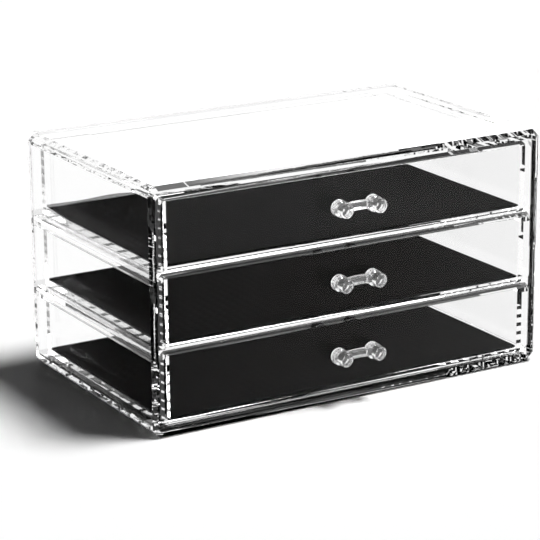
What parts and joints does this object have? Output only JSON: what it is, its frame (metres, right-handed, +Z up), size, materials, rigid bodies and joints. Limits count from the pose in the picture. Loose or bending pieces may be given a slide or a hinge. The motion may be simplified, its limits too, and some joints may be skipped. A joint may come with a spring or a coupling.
{
  "type": "makeup organizer",
  "caption": "Clear rectangular cosmetics organizer with stacked pull-out drawers, double-knob handles and thin black pads on the drawer floors.",
  "frame": {"origin": "on the surface it stands on, under the middle of the whole object, handles included", "axes": "+X to the right seen from the front, +Y from the drawer fronts to the back, +Z up"},
  "size_m": [0.236, 0.15, 0.13],
  "materials": {
    "clear_plastic": "clear, polished, colourless moulded plastic",
    "black_pad": "matte black, thin felt-like pad with a fine mesh"
  },
  "bodies": {
    "case": {"case_shell": "clear_plastic", "lower_shelf": "clear_plastic", "upper_shelf": "clear_plastic"},
    "lower_drawer": {"lower_tray": "clear_plastic", "lower_front": "clear_plastic", "lower_handle": "clear_plastic", "lower_liner": "black_pad"},
    "middle_drawer": {"middle_tray": "clear_plastic", "middle_front": "clear_plastic", "middle_handle": "clear_plastic", "middle_liner": "black_pad"},
    "upper_drawer": {"upper_tray": "clear_plastic", "upper_front": "clear_plastic", "upper_handle": "clear_plastic", "upper_liner": "black_pad"}
  },
  "joints": [
    {"name": "lower_drawer_slide", "type": "slide", "parent": "case", "child": "lower_drawer", "axis": [0, -1, 0], "range_m": [0, 0.105]},
    {"name": "middle_drawer_slide", "type": "slide", "parent": "case", "child": "middle_drawer", "axis": [0, -1, 0], "range_m": [0, 0.105]},
    {"name": "upper_drawer_slide", "type": "slide", "parent": "case", "child": "upper_drawer", "axis": [0, -1, 0], "range_m": [0, 0.105]}
  ]
}
